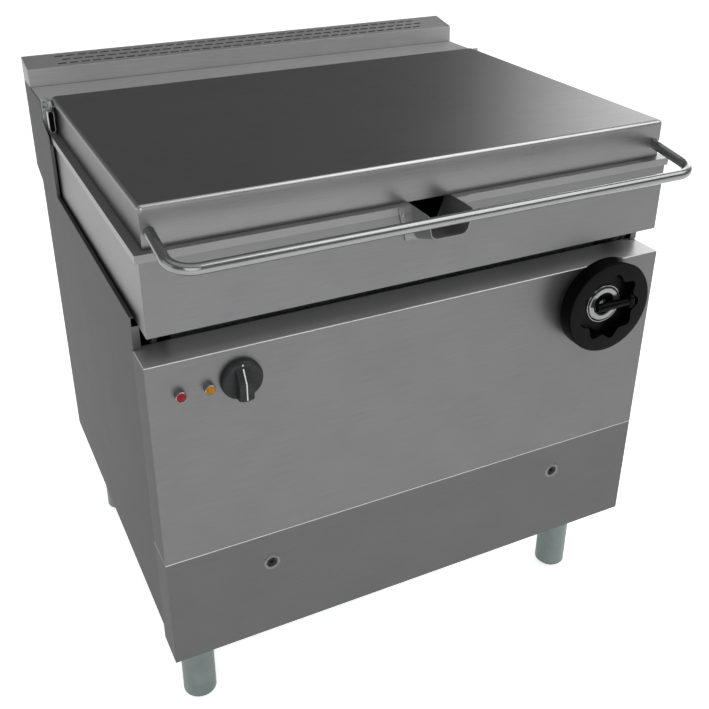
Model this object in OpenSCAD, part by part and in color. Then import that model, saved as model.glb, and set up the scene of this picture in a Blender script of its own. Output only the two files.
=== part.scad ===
// Tilting bratt pan on a floor cabinet, with a hinged lid, a pouring lip and a hand-wound tilting gear.
// Front faces -Y. Drawn from the front panel's lower edge, then set on its feet by placed().

/* [Cabinet] */
// Width over the side panels
unit_w = 900; // [880:1:930]
// Height of the feet, from the floor to the front panel's lower edge
foot_h = 195; // [170:1:215]
// Height of the ledge above the front panel's lower edge
ledge_z = 557; // [545:1:570]
// Depth of the ledge beside the pan, front to back
ledge_d = 54; // [50:1:55]
// How far the ledge runs on under the pan
ledge_run = 10; // [8:1:12]
// Height of the seam between the control panel and the lower panel
seam_z = 205.7; // [190:0.1:240]
// How far the front panels wrap round the sides
return_d = 62; // [60:1:70]
// Height of the side panels' lower edge
skirt_z = 28; // [24:1:34]
// Depth from the front panel to the back panel
cabinet_d = 717; // [712:1:740]
// Sheet thickness of the cabinet
sheet = 1.5; // [1:0.1:2]
// Height of the side panels' shoulder above the ledge
shoulder_h = 53; // [50:1:56]
// Gap between two sheets that meet
seam = 0.6; // [0.4:0.1:1]

/* [Rear column and flue] */
// Depth of the rear column
column_d = 114; // [110:1:118]
// How far the side panels' uprights stand in front of the rear column
upright_d = 41; // [38:1:44]
// Height of the deck behind the lid, above the pan's rim
deck_h = 52; // [48:1:56]
// Depth of the flue cover
flue_cover_d = 62; // [56:1:66]
// How far the flue stands out behind the back panel
flue_over = 48; // [40:1:56]
// Height of the flue cover's front edge above the deck
flue_front_h = 32; // [28:1:36]
// Height of the flue cover's rear edge above the deck
flue_rear_h = 44; // [40:1:52]
// Length of a vent slot
slot_l = 16; // [12:1:18]
// Width of a vent slot
slot_w = 5; // [3:0.5:7]
// Distance from slot to slot in a row
slot_pitch = 21.6; // [20:0.1:26]

/* [Pan] */
// Gap beside the pan's casing, from the unit's side
pan_gap = 9.5; // [9:0.5:11]
// Front face of the pan's casing
pan_y = 3.5; // [2:0.5:5]
// Gap between the pan's casing and the rear column
pan_rear_gap = 13; // [12:1:16]
// Height of the casing's lower edge above the ledge
pan_lift = 42; // [41:1:44]
// Height of the casing with its rim
pan_h = 125; // [120:1:130]
// How far the rim stands out from the casing at the sides
rim_out = 5; // [3:0.5:5.5]
// Height of the rim's folded edge
rim_drop = 12; // [8:1:14]
// Gap between the vessel's rear wall and the back of the casing
vessel_back = 30; // [26:1:36]
// Front wall of the vessel at the rim, inside
vessel_front_y = 30; // [26:1:34]
// Front wall of the vessel at the floor, inside
vessel_toe_y = 85; // [80:1:95]
// How far the cooking surface lies below the casing's lower edge
vessel_sink = 39; // [35:1:42]
// Wall of the vessel
vessel_t = 2.5; // [2:0.5:3]
// Thickness of the heat spreading plate under the floor
base_t = 12; // [10:1:14]
// Forward tilt of the pan at its limit, degrees
tilt_max = 75; // [60:1:75]
// Distance of the tilting axis behind the front panel
pivot_y = 34; // [33:1:35]
// Height of the tilting axis above the casing's lower edge
pivot_lift = 12; // [11:1:13]

/* [Pouring lip] */
// Width of the lip's channel
lip_w = 72; // [60:1:80]
// Reach of the lip in front of the panel
lip_reach = 46; // [35:1:50]
// Depth of the channel at its end
lip_d = 37; // [30:1:40]
// How much deeper the channel is at the pan
lip_drop = 17; // [12:1:18]

/* [Lid] */
// How far the lid stands inside the casing's sides
lid_step = 7; // [6:0.5:9]
// Front face of the lid
lid_y = 13; // [10:1:16]
// Height of the lid's box
lid_h = 62; // [56:1:64]
// Radius of the lid's rolled edge
lid_r = 7; // [5:0.5:8]
// How far the rolled edge stands out from the lid's walls
lid_bead = 2; // [1:0.5:2.5]
// Distance from the front panel to the bar's centre
bar_reach = 85; // [78:1:92]
// Height of the bar's arms at the lid, above the rim
bar_h = 24.5; // [22:0.5:28]
// Downward slope of the bar's arms, degrees
bar_slope = 9.4; // [6:0.1:11]
// How far the bar's arms stand inside the lid's sides, on centre
bar_inset = 13.5; // [12:0.5:18]
// Diameter of the bar's tube
bar_tube = 16; // [14:1:18]
// Bend radius of the bar's corners
bar_bend = 35; // [28:1:42]

/* [Handwheel and gear] */
// Height of the handwheel's axis below the ledge
wheel_drop = 63; // [61:1:65]
// Radius of the handwheel
wheel_r = 81.5; // [76:0.5:82]
// Thickness of the handwheel
wheel_t = 28; // [26:1:30]
// Gap between the handwheel and the front panel
wheel_gap = 14; // [12:1:16]
// Distance of the worm shaft from the unit's side
worm_inset = 44; // [44:0.5:45]
// Height of the worm shaft above the handwheel's axis
worm_rise = 18; // [16:1:19]
// Tooth size of the input gears
train_m = 3; // [3:1:3]
// Tooth size of the toothed quadrant
quad_m = 4; // [4:1:4]
// Thickness of the quadrant and the lugs
lug_t = 8; // [6:0.5:9]
// Diameter of the pan's pivot pins
pivot_d = 20; // [16:1:22]

/* [Controls] */
// Distance of the knob from the unit's side
knob_inset = 138; // [130:1:150]
// Height of the knob below the ledge
knob_drop = 50; // [48:1:54]
// Radius of the knob's skirt
knob_r = 32; // [28:0.5:34]
// Distance of the red light from the unit's side
red_inset = 46.5; // [40:0.5:52]
// Distance of the amber light from the unit's side
amber_inset = 89.5; // [82:0.5:94]
// Height of the lights below the ledge
light_drop = 53.5; // [48:0.5:60]
// Radius of a light's bezel
light_r = 8.5; // [7.5:0.5:10]
// Distance of the lower panel's screws from the unit's side
screw_inset = 173; // [150:1:200]
// Height of the lower panel's screws
screw_z = 146; // [140:1:150]

/* [Feet] */
// Distance of the feet from the unit's side
foot_inset = 62; // [55:1:80]
// Front feet, distance behind the front panel
foot_y = 105; // [98:1:125]
// Diameter of a foot
foot_d = 59; // [50:1:60]
// How much wider the collar above a foot is
collar_out = 3; // [2:0.5:4]

/* [Hidden] */
$fn = 48;
eps = 0.01;

// Cabinet
half_w = unit_w / 2;
inner_w = half_w - sheet;
shoulder_z = ledge_z + shoulder_h;
ledge_in = ledge_d + ledge_run;
column_y = cabinet_d - column_d;
upright_y = column_y - upright_d;
flue_d = cabinet_d + flue_over;
flue_y = flue_d - flue_cover_d;
pan_foot_z = ledge_z + pan_lift;
rim_z = pan_foot_z + pan_h;
upright_z = rim_z;
deck_z = rim_z + deck_h;
flue_front_z = deck_z + flue_front_h;
flue_rear_z = deck_z + flue_rear_h;
// The object is centred between the bar's front and the flue's rear
bar_y = -bar_reach;
mid_y = (flue_d + bar_y - bar_tube / 2) / 2;
panel_gap = 0.4;   // gap at the seam between the front panels
fit = 0.05;        // radial clearance of a shaft in its bush
clear = 0.5;       // clearance between a moving piece and a fixed one
edge_w = 6;        // folded edge along the side panels' shoulder
foot_edge_w = 15;  // folded edge under the side panels
back_notch_z = shoulder_z - 20;
back_knee_z = back_notch_z + 17;

// Pan
pan_half = half_w - pan_gap;
pan_rear_y = column_y - pan_rear_gap;
rim_half = pan_half + rim_out;
rim_y = pan_y - 1;
rim_t = 2.5;
rim_under_z = rim_z - rim_t;
casing_t = 1.5;
worm_x = half_w - worm_inset;
vessel_half = worm_x - 11.5;
vessel_w = 2 * (vessel_half - vessel_t);
vessel_rear_y = pan_rear_y - vessel_back;
vessel_floor_z = pan_foot_z - vessel_sink;
vessel_under_z = vessel_floor_z - 3;
base_plate_z = vessel_under_z - base_t;
element_r = 4;
tray_z = vessel_under_z - 37;
tray_half = vessel_half - 8.5;
corner_r = 30;

// Lid
lid_z = rim_z + clear;
lid_top_z = lid_z + lid_h;
lid_rear_y = pan_rear_y;
lid_half = pan_half - lid_step;
bar_z = rim_z + bar_h;
bar_half = lid_half - bar_inset;
lid_t = 1.5;
hinge_r = 6;
hinge_y = lid_rear_y - lid_bead - lid_t - hinge_r - 0.5;
hinge_z = lid_top_z - 16;
bracket_x = lid_half + 2.5;
bracket_t = 5;

// Gear train: the pan's quadrant, the pinion, the worm wheel over the worm, and two input gears
pinion_n = 18;
quad_n = 75;
pinion_r = quad_m * pinion_n / 2;
quad_r = quad_m * quad_n / 2;
worm_m = 3;
worm_r = 14;
wheel_n = 24;
worm_wheel_r = worm_m * wheel_n / 2;
pivot_z = pan_foot_z + pivot_lift;
wheel_z = ledge_z - wheel_drop;
worm_z = wheel_z + worm_rise;
shaft_b_z = worm_z + worm_r + worm_wheel_r;
mesh_d = quad_r + pinion_r;
mesh_a = -asin((pivot_z - shaft_b_z) / mesh_d);
shaft_b_y = pivot_y + mesh_d * cos(mesh_a);
input_n = 33;
output_n = 23;
input_r = train_m * input_n / 2;
output_r = train_m * output_n / 2;
train_a = asin(worm_rise / (input_r + output_r));
wheel_x = worm_x - (input_r + output_r) * cos(train_a);
play = 0.5;        // backlash of the spur gears at the pitch line
worm_play = 0.85;  // backlash of the worm's straight-cut wheel
lead = PI * worm_m;
lug_x = worm_x + 19;
plate_x0 = worm_x + 7;
plate_t = 7;
hub_r = 16;
boss_r = 12;
bush_t = 3;
worm_shaft_r = 6;
shaft_b_r = 8;
input_shaft_r = 8;
gear_y0 = 9;
gear_t = 11;
beam_y0 = ledge_in + 4;
beam_y1 = beam_y0 + 33;
plate2_y0 = beam_y0 - 7;
plate2_t = 6;
plate3_y0 = shaft_b_y + 33;
plate3_t = 8;
beam_z1 = pivot_z - quad_r - quad_m - 6;
beam_z0 = beam_z1 - 36;
worm_l = 44;
worm_wheel_w = 8;
worm_wheel_x0 = worm_x - worm_wheel_w / 2;
web_z = pan_foot_z + 7;
web_t = 4;

// Handwheel
wheel_back_y = -wheel_gap;
wheel_face_y = wheel_back_y - wheel_t;
dish_y = wheel_face_y + 18;
dish_r = 60;
lobe_n = 9;
ring_h = 3;
grip_r = 8;
grip_y = dish_y - ring_h - grip_r - clear;
crank_x = wheel_x + 50;
crank_r = 6.5;
crank_pin_r = 2.5;
grip_l = 58;

// Small fittings
lens_r = light_r - 1.3;
light_reach = 10;
cup_r = 15;
cup_hole_r = 10.5;
knob_x = -half_w + knob_inset;
knob_z = ledge_z - knob_drop;
red_x = -half_w + red_inset;
amber_x = -half_w + amber_inset;
light_z = ledge_z - light_drop;
screw_x = half_w - screw_inset;
foot_x = half_w - foot_inset;
collar_d = foot_d + 2 * collar_out;
rear_foot_y = cabinet_d - sheet - collar_d / 2 - clear;
gland_x = -half_w + 100;
gland_z = 120;
gland_r = 14;
gland_bore_r = 7;

module placed() {
    translate([0, -mid_y, foot_h])
        children();
}

module box(x0, x1, y0, y1, z0, z1) {
    translate([x0, y0, z0])
        cube([x1 - x0, y1 - y0, z1 - z0]);
}

module rod_x(x0, x1, y, z, r) {
    translate([x0, y, z])
        rotate([0, 90, 0])
            cylinder(r = r, h = x1 - x0);
}

module rod_y(y0, y1, x, z, r) {
    translate([x, y0, z])
        rotate([-90, 0, 0])
            cylinder(r = r, h = y1 - y0);
}

module rod_z(z0, z1, x, y, r) {
    translate([x, y, z0])
        cylinder(r = r, h = z1 - z0);
}

// A flat outline in Y and Z, given its thickness along X
module along_x(x0, x1) {
    translate([x0, 0, 0])
        rotate([90, 0, 90])
            linear_extrude(x1 - x0)
                children();
}

// A flat outline in X and Z, given its thickness along Y
module along_y(y0, y1) {
    translate([0, y1, 0])
        rotate([90, 0, 0])
            linear_extrude(y1 - y0)
                children();
}

module both_sides() {
    children();
    mirror([1, 0, 0])
        children();
}

module round_rect(x0, x1, y0, y1, r) {
    translate([x0 + r, y0])
        square([x1 - x0 - 2 * r, y1 - y0]);
    translate([x0, y0 + r])
        square([x1 - x0, y1 - y0 - 2 * r]);
    for (x = [x0 + r, x1 - r], y = [y0 + r, y1 - r])
        translate([x, y])
            circle(r);
}

// Involute gear outline, 20 degrees, with its first tooth on +X
function involute(a) = tan(a) * 180 / PI - a;
function tooth_half(m, n, rho, slack) =
    90 / n - slack * 90 / (PI * m * n / 2) + involute(20) - involute(acos(min(1, m * n / 2 * cos(20) / rho)));
function gear_radii(m, n) =
    [m * n / 2 - 1.25 * m, m * n / 2 - 0.5 * m, m * n / 2, m * n / 2 + 0.5 * m, m * n / 2 + m];
function on_circle(rho, a) = [rho * cos(a), rho * sin(a)];
function gear_outline(m, n, slack, first, last) = [
    for (i = [first:last], k = [0:9])
        let (rho = gear_radii(m, n)[k < 5 ? k : 9 - k], side = k < 5 ? -1 : 1)
            on_circle(rho, i * 360 / n + side * tooth_half(m, n, rho, slack))
];

module gear_teeth(m, n, slack) {
    polygon(gear_outline(m, n, slack, 0, n - 1));
}

// Cabinet

side_outline = [
    [return_d + seam, skirt_z], [cabinet_d, skirt_z], [cabinet_d, back_notch_z], [flue_d, back_knee_z],
    [flue_d, deck_z - seam], [column_y, deck_z - seam], [column_y, upright_z + 16], [upright_y, upright_z],
    [upright_y, shoulder_z], [ledge_d + seam, shoulder_z], [ledge_d + seam, ledge_z + seam],
    [return_d + seam, ledge_z + seam]
];

module side_panel() {
    along_x(inner_w, half_w)
        polygon(side_outline);
    box(half_w - foot_edge_w, inner_w, return_d + seam, cabinet_d - sheet, skirt_z, skirt_z + sheet);
    box(half_w - edge_w, inner_w, ledge_d + seam, upright_y, shoulder_z - sheet, shoulder_z);
    box(half_w - edge_w, inner_w, upright_y, upright_y + sheet, shoulder_z - sheet, rim_z - rim_drop - 5);
    box(half_w - 2 * edge_w, inner_w, ledge_d + seam, ledge_d + seam + sheet, ledge_z + 1, pan_foot_z - 4);
    box(half_w - foot_edge_w, inner_w, return_d + seam, return_d + seam + sheet, skirt_z + sheet, beam_z0 - 4);
}

module side_panel_right() {
    color([0.50, 0.50, 0.50])
        placed()
            side_panel();
}

module side_panel_left() {
    color([0.50, 0.50, 0.50])
        placed()
            mirror([1, 0, 0])
                side_panel();
}

module back_panel() {
    color([0.55, 0.56, 0.56])
        placed()
            difference() {
                union() {
                    box(-inner_w, inner_w, cabinet_d - sheet, cabinet_d, skirt_z, back_notch_z);
                    along_x(-inner_w, inner_w)
                        polygon([[cabinet_d - sheet, back_notch_z], [cabinet_d, back_notch_z],
                                 [flue_d, back_knee_z], [flue_d, deck_z - seam],
                                 [flue_d - sheet, deck_z - seam], [flue_d - sheet, back_knee_z + sheet]]);
                }
                rod_y(cabinet_d - 2 * sheet, cabinet_d + sheet, gland_x, gland_z, gland_r);
                for (i = [-4:4], row = [0:4])
                    box(i * vent_pitch - vent_l / 2, i * vent_pitch + vent_l / 2, cabinet_d - 2 * sheet,
                        cabinet_d + sheet, vent_z + row * vent_rise, vent_z + row * vent_rise + slot_w);
            }
}

vent_pitch = half_w / 7.5;
vent_l = vent_pitch * 2 / 3;
vent_z = back_notch_z / 2 + 5;
vent_rise = 24;

module base_tray() {
    color([0.55, 0.56, 0.56])
        placed()
            difference() {
                box(-inner_w, inner_w, return_d + seam + sheet, cabinet_d - sheet, skirt_z + sheet, skirt_z + 32);
                box(-inner_w + sheet, inner_w - sheet, return_d + seam + 2 * sheet, cabinet_d - 2 * sheet,
                    skirt_z + 2 * sheet, skirt_z + 33);
            }
}

module rear_column() {
    shelf_y = vessel_rear_y + vessel_t + 8;
    color([0.52, 0.52, 0.52])
        placed() {
            box(-inner_w, inner_w, column_y, column_y + sheet, pan_foot_z - 59, deck_z);
            box(-inner_w, inner_w, column_y + sheet, flue_y, deck_z - sheet, deck_z);
            both_sides() {
                box(rest_x - rest_half, rest_x + rest_half, shelf_y, column_y, rest_z - 2, rest_z);
                box(rest_x - rest_half, rest_x + rest_half, column_y - 2, column_y, rest_z - 30, rest_z - 2);
            }
        }
}
rest_z = pan_foot_z - 17;
rest_x = pan_half - 100;
rest_half = 40;

module pan_rest_pads() {
    color([0.10, 0.10, 0.10])
        placed()
            both_sides()
                rod_z(rest_z, pan_foot_z - 0.3, rest_x, pan_rear_y - 12, 8);
}

flue_outline = [[flue_y, deck_z], [flue_y + 2, flue_front_z], [flue_d, flue_rear_z], [flue_d, deck_z]];
flue_slope = atan2(flue_rear_z - flue_front_z, flue_d - flue_y - 2);
grille_d = (flue_d - flue_y - 2) / cos(flue_slope);

module flue_cover() {
    color([0.52, 0.52, 0.52])
        placed()
            difference() {
                along_x(-half_w, half_w)
                    polygon(flue_outline);
                along_x(-inner_w, inner_w)
                    polygon([[flue_y + sheet, deck_z - 1], [flue_y + 2 + sheet, flue_front_z + 20],
                             [flue_d - sheet, flue_rear_z + 20], [flue_d - sheet, deck_z - 1]]);
            }
}

module flue_grille() {
    rows = 3;
    row_pitch = (grille_d - 2 * sheet) / (rows + 0.6);
    half_n = floor((inner_w - 45) / slot_pitch);
    color([0.50, 0.50, 0.50])
        placed()
            translate([0, flue_y + 2, flue_front_z])
                rotate([flue_slope, 0, 0])
                    difference() {
                        box(-inner_w + 0.3, inner_w - 0.3, sheet + 0.3, grille_d - sheet - 0.6, -sheet - 0.3, -0.3);
                        for (row = [0:rows - 1], i = [-half_n:half_n - 1])
                            translate([(i + (row % 2) / 2 + 0.25) * slot_pitch,
                                       sheet + row_pitch * (row + 0.8), -sheet])
                                cube([slot_l, slot_w, 4 * sheet], center = true);
                    }
}

module front_shell(z0, z1) {
    box(-half_w, half_w, 0, sheet, z0, z1);
    both_sides()
        box(inner_w, half_w, sheet, return_d, z0, z1);
}

fold_h = 12;

module control_panel() {
    color([0.54, 0.54, 0.54])
        placed()
            difference() {
                union() {
                    front_shell(seam_z, ledge_z - sheet);
                    box(-half_w, half_w, 0, ledge_d, ledge_z - sheet, ledge_z);
                    box(-inner_w + 0.3, inner_w - 0.3, ledge_d, ledge_in, ledge_z - sheet, ledge_z);
                    box(-inner_w + 0.3, inner_w - 0.3, ledge_in - sheet, ledge_in, ledge_z - fold_h, ledge_z - sheet);
                    box(-inner_w, inner_w, sheet, 16, seam_z, seam_z + sheet);
                }
                rod_y(-1, sheet + 1, wheel_x, wheel_z, input_shaft_r + fit + bush_t);
                rod_y(-1, sheet + 1, knob_x, knob_z, 6);
                for (x = [red_x, amber_x])
                    rod_y(-1, sheet + 1, x, light_z, light_r - 2.5);
            }
}

lower_top_z = seam_z - panel_gap;

module lower_panel() {
    color([0.54, 0.54, 0.54])
        placed()
            difference() {
                union() {
                    front_shell(0, lower_top_z);
                    box(-inner_w, inner_w, sheet, 16, lower_top_z - sheet, lower_top_z);
                    box(-inner_w, inner_w, sheet, 16, 0, sheet);
                }
                both_sides()
                    rod_y(-1, sheet + 1, screw_x, screw_z, cup_hole_r);
            }
}

module panel_rail() {
    rail_z0 = screw_z - 16;
    rail_z1 = screw_z + 16;
    color([0.45, 0.46, 0.46])
        placed()
            difference() {
                box(-inner_w, inner_w, sheet, return_d - 2, rail_z0, rail_z1);
                box(-inner_w - 1, inner_w + 1, sheet + 10, return_d, rail_z0 + 2, rail_z1 - 2);
                both_sides() {
                    rod_y(0, sheet + 4, screw_x, screw_z, cup_hole_r);
                    rod_y(0, sheet + 11, screw_x, screw_z, 3);
                }
            }
}

module cup_washers() {
    color([0.75, 0.75, 0.75])
        placed()
            both_sides()
                translate([screw_x, 0, screw_z])
                    rotate([90, 0, 0])
                        rotate_extrude()
                            polygon([[cup_hole_r - 1.5, 0], [cup_r, 0], [cup_r - 1, 1.2], [cup_r - 2.5, 2],
                                     [cup_hole_r - 0.5, 1.6], [cup_hole_r - 1.5, 0.6]]);
}

module panel_screws() {
    color([0.25, 0.25, 0.25])
        placed()
            both_sides()
                difference() {
                    union() {
                        rod_y(sheet, sheet + 4, screw_x, screw_z, 6.5);
                        rod_y(sheet + 4, sheet + 22, screw_x, screw_z, 3);
                    }
                    translate([screw_x, sheet - 1, screw_z])
                        rotate([-90, 0, 0])
                            cylinder(r = 3, h = 3, $fn = 6);
                }
}

module support_beam() {
    color([0.45, 0.46, 0.46])
        placed()
            difference() {
                box(-inner_w, inner_w, beam_y0, beam_y1, beam_z0, beam_z1);
                box(-inner_w - 1, inner_w + 1, beam_y0 + 3, beam_y1 - 3, beam_z0 - 1, beam_z1 - 3);
            }
}

foot_places = [[-foot_x, foot_y], [foot_x, foot_y], [-foot_x, rear_foot_y], [foot_x, rear_foot_y]];
collar_z = -15;
stud_r = 8;

module leg_collars() {
    color([0.52, 0.56, 0.56])
        placed()
            for (p = foot_places)
                translate([p[0], p[1], collar_z])
                    difference() {
                        cylinder(d = collar_d, h = skirt_z + sheet - collar_z);
                        translate([0, 0, -1])
                            cylinder(r = stud_r + fit, h = 36);
                    }
}

module foot(p) {
    bevel = 9;
    color([0.46, 0.50, 0.49])
        placed()
            translate([p[0], p[1], -foot_h]) {
                rotate_extrude()
                    polygon([[0, 0], [foot_d / 2 - bevel, 0], [foot_d / 2, bevel],
                             [foot_d / 2, foot_h + collar_z - 0.4], [0, foot_h + collar_z - 0.4]]);
                cylinder(r = stud_r, h = foot_h + collar_z + 30);
            }
}

module foot_front_left() foot(foot_places[0]);
module foot_front_right() foot(foot_places[1]);
module foot_rear_left() foot(foot_places[2]);
module foot_rear_right() foot(foot_places[3]);

// Controls

module light_bezels() {
    color([0.80, 0.80, 0.80])
        placed()
            for (x = [red_x, amber_x])
                translate([x, 0, light_z])
                    rotate([90, 0, 0])
                        rotate_extrude()
                            polygon([[light_r - 2.5, -6], [light_r - 2.5, 0],
                                     [light_r, 0], [light_r, light_reach - 1], [light_r - 0.8, light_reach],
                                     [lens_r, light_reach], [lens_r, 2], [lens_r - 2.7, 2], [lens_r - 2.7, -6]]);
}

module lens(x) {
    placed()
        translate([x, 0, light_z])
            rotate([90, 0, 0])
                rotate_extrude()
                    polygon([[0, 2], [lens_r, 2], [lens_r, light_reach - 0.5], [lens_r - 1.5, light_reach + 0.8],
                             [lens_r * 0.45, light_reach + 1.6], [0, light_reach + 1.8]]);
}

module lens_red() {
    color([0.80, 0.10, 0.15])
        lens(red_x);
}

module lens_amber() {
    color([0.90, 0.55, 0.05])
        lens(amber_x);
}

knob_gap = 1;
knob_skirt = 12;
knob_h = 25;
ridge_half = knob_r * 0.34;

module control_knob() {
    color([0.20, 0.20, 0.21])
        placed()
            translate([knob_x, 0, knob_z])
                rotate([90, 0, 0]) {
                    difference() {
                        rotate_extrude()
                            polygon([[0, knob_gap], [knob_r, knob_gap], [knob_r, 7], [knob_r - 1.5, 10],
                                     [knob_r - 4, knob_skirt], [0, knob_skirt]]);
                        for (side = [-1, 1])
                            translate([side * knob_r * 0.62, -knob_r * 0.78, knob_skirt - 2])
                                sphere(3.5);
                    }
                    intersection() {
                        rotate_extrude()
                            polygon([[0, 10], [knob_r - 2, 10], [knob_r - 3, 18], [knob_r - 4.5, knob_h - 1],
                                     [knob_r - 5.5, knob_h], [0, knob_h]]);
                        rotate([90, 0, 90])
                            translate([0, 0, -ridge_half])
                                linear_extrude(2 * ridge_half)
                                    polygon([[-knob_r, 10], [-knob_r, knob_h], [2, knob_h],
                                             [knob_r - 8, knob_skirt - 1], [knob_r - 8, 10]]);
                    }
                    translate([0, 0, -22])
                        cylinder(r = 3, h = 24);
                }
}

module knob_pointer() {
    slope = atan2(knob_h - knob_skirt + 1, knob_r - 10);
    color([0.92, 0.92, 0.90])
        placed()
            translate([knob_x, 0, knob_z])
                rotate([90, 0, 0]) {
                    translate([-0.9, -knob_r + 7, knob_h])
                        cube([1.8, knob_r - 5.2, 0.4]);
                    translate([0, 2, knob_h])
                        rotate([-slope, 0, 0])
                            translate([-0.9, 0, 0])
                                cube([1.8, (knob_r - 13) / cos(slope), 0.4]);
                    translate([0, knob_r - 5.6, knob_skirt])
                        cylinder(r = 1.4, h = 0.4);
                }
}

module thermostat() {
    color([0.75, 0.74, 0.70])
        placed()
            difference() {
                union() {
                    box(knob_x - 24, knob_x + 24, sheet, sheet + 2, knob_z - 20, knob_z + 20);
                    box(knob_x - 19, knob_x + 19, sheet + 2, 36, knob_z - 22, knob_z + 17);
                    box(knob_x - 14, knob_x - 10, 36, 46, knob_z - 12, knob_z + 8);
                    box(knob_x + 10, knob_x + 14, 36, 46, knob_z - 12, knob_z + 8);
                }
                rod_y(0, 24, knob_x, knob_z, 3 + fit);
            }
}

module contactor() {
    x0 = gland_x + 50;
    y0 = cabinet_d - 117;
    z0 = skirt_z + 2 * sheet;
    color([0.20, 0.21, 0.24])
        placed() {
            difference() {
                box(x0, x0 + 70, y0, y0 + 80, z0, z0 + 84);
                for (pole = [0:2], y = [y0 + 6, y0 + 66])
                    box(x0 + 5 + 23 * pole, x0 + 19 + 23 * pole, y - 1, y + 9, z0 + 60, z0 + 85);
            }
            box(x0 + 10, x0 + 60, y0 - 15, y0, z0 + 20, z0 + 64);
        }
}

module terminal_block() {
    x0 = gland_x - 50;
    y0 = cabinet_d - 77;
    z0 = skirt_z + 2 * sheet;
    color([0.85, 0.84, 0.78])
        placed()
            difference() {
                box(x0, x0 + 70, y0, y0 + 36, z0, z0 + 34);
                for (x = [x0 + 3:14:x0 + 59]) {
                    box(x, x + 10, y0 - 2, y0 + 8, z0 + 14, z0 + 35);
                    box(x, x + 10, y0 + 28, y0 + 38, z0 + 14, z0 + 35);
                    rod_z(z0 + 24, z0 + 35, x + 5, y0 + 18, 3.5);
                }
            }
}

module cable_gland() {
    color([0.15, 0.15, 0.15])
        placed()
            difference() {
                union() {
                    rod_y(cabinet_d - sheet - 8, cabinet_d + 24, gland_x, gland_z, gland_r);
                    rod_y(cabinet_d, cabinet_d + 6, gland_x, gland_z, gland_r + 5);
                    rod_y(cabinet_d - sheet - 7, cabinet_d - sheet, gland_x, gland_z, gland_r + 4);
                    translate([gland_x, cabinet_d + 6, gland_z])
                        rotate([-90, 0, 0])
                            cylinder(r = gland_r + 3, h = 12, $fn = 8);
                }
                rod_y(cabinet_d - 30, cabinet_d + 30, gland_x, gland_z, gland_bore_r);
            }
}

// Tilting gear

module bush_hole(x0, x1, y, z, r) {
    rod_x(x0 - 1, x1 + 1, y, z, r + fit + bush_t);
}

module drive_frame() {
    plate2_x0 = wheel_x - 34;
    low_z = worm_z + worm_r + worm_m + 3;
    top_z = worm_z + 24;
    color([0.42, 0.43, 0.43])
        placed()
            difference() {
                union() {
                    along_x(plate_x0, plate_x0 + plate_t)
                        polygon([[beam_y0, beam_z1], [beam_y1, beam_z1], [beam_y1, low_z],
                                 [plate3_y0 + plate3_t, low_z], [plate3_y0 + plate3_t, shaft_b_z + 12],
                                 [shaft_b_y, shaft_b_z + 17], [pivot_y + 62, web_z - 14],
                                 [pivot_y + boss_r - 2, pivot_z + 5], [pivot_y - boss_r + 1, pivot_z],
                                 [pivot_y, pivot_z - boss_r + 1], [beam_y0, ledge_z]]);
                    rod_x(plate_x0, plate_x0 + plate_t, pivot_y, pivot_z, boss_r);
                    rod_x(plate_x0, plate_x0 + plate_t, shaft_b_y, shaft_b_z, 18);
                    box(plate2_x0, plate_x0 + plate_t, plate2_y0, plate2_y0 + plate2_t, wheel_z - 24, top_z);
                    box(plate2_x0, plate_x0 + plate_t, plate2_y0, beam_y0, beam_z0, beam_z1 - 4);
                    box(plate2_x0, plate_x0 - 20, plate2_y0, plate2_y0 + plate2_t, beam_z0, wheel_z - 20);
                    box(plate_x0, plate_x0 + plate_t, plate2_y0, beam_y0 + 1, beam_z1, top_z);
                    box(worm_x - 14, plate_x0 + 1, plate3_y0, plate3_y0 + plate3_t, worm_z - 14, low_z);
                    box(plate_x0, plate_x0 + plate_t, plate3_y0, plate3_y0 + plate3_t, worm_z - 14, low_z + 1);
                }
                rod_x(plate_x0 - 1, plate_x0 + plate_t + 1, pivot_y, pivot_z, pivot_d / 2);
                bush_hole(plate_x0, plate_x0 + plate_t, shaft_b_y, shaft_b_z, shaft_b_r);
                rod_y(plate2_y0 - 1, beam_y0 + 2, wheel_x, wheel_z, input_shaft_r + fit + bush_t);
                rod_y(plate2_y0 - 1, plate2_y0 + plate2_t + 1, worm_x, worm_z, worm_shaft_r + fit + bush_t);
                rod_y(plate3_y0 - 1, plate3_y0 + plate3_t + 1, worm_x, worm_z, worm_shaft_r + fit + bush_t);
            }
}

module pivot_bracket_left() {
    color([0.42, 0.43, 0.43])
        placed()
            mirror([1, 0, 0])
                difference() {
                    union() {
                        along_x(plate_x0, plate_x0 + plate_t)
                            polygon([[beam_y0, beam_z1], [beam_y1, beam_z1], [beam_y1, ledge_z],
                                     [pivot_y + 8, pivot_z + 7], [pivot_y - 8, pivot_z - 7], [beam_y0, ledge_z]]);
                        rod_x(plate_x0, plate_x0 + plate_t, pivot_y, pivot_z, boss_r);
                    }
                    rod_x(plate_x0 - 1, plate_x0 + plate_t + 1, pivot_y, pivot_z, pivot_d / 2);
                }
}

module pivot_pins() {
    color([0.70, 0.70, 0.70])
        placed()
            both_sides() {
                rod_x(plate_x0 - 3, pan_half - casing_t - 1, pivot_y, pivot_z, pivot_d / 2);
                rod_x(plate_x0 - 3, plate_x0, pivot_y, pivot_z, pivot_d / 2 + 2);
            }
}

module flanged_bush_y(x, z, y0, y1, r) {
    difference() {
        union() {
            rod_y(y0, y1, x, z, r + fit + bush_t);
            rod_y(y0 - 2, y0, x, z, r + fit + bush_t + 2.5);
        }
        rod_y(y0 - 3, y1 + 1, x, z, r + fit);
    }
}

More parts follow.
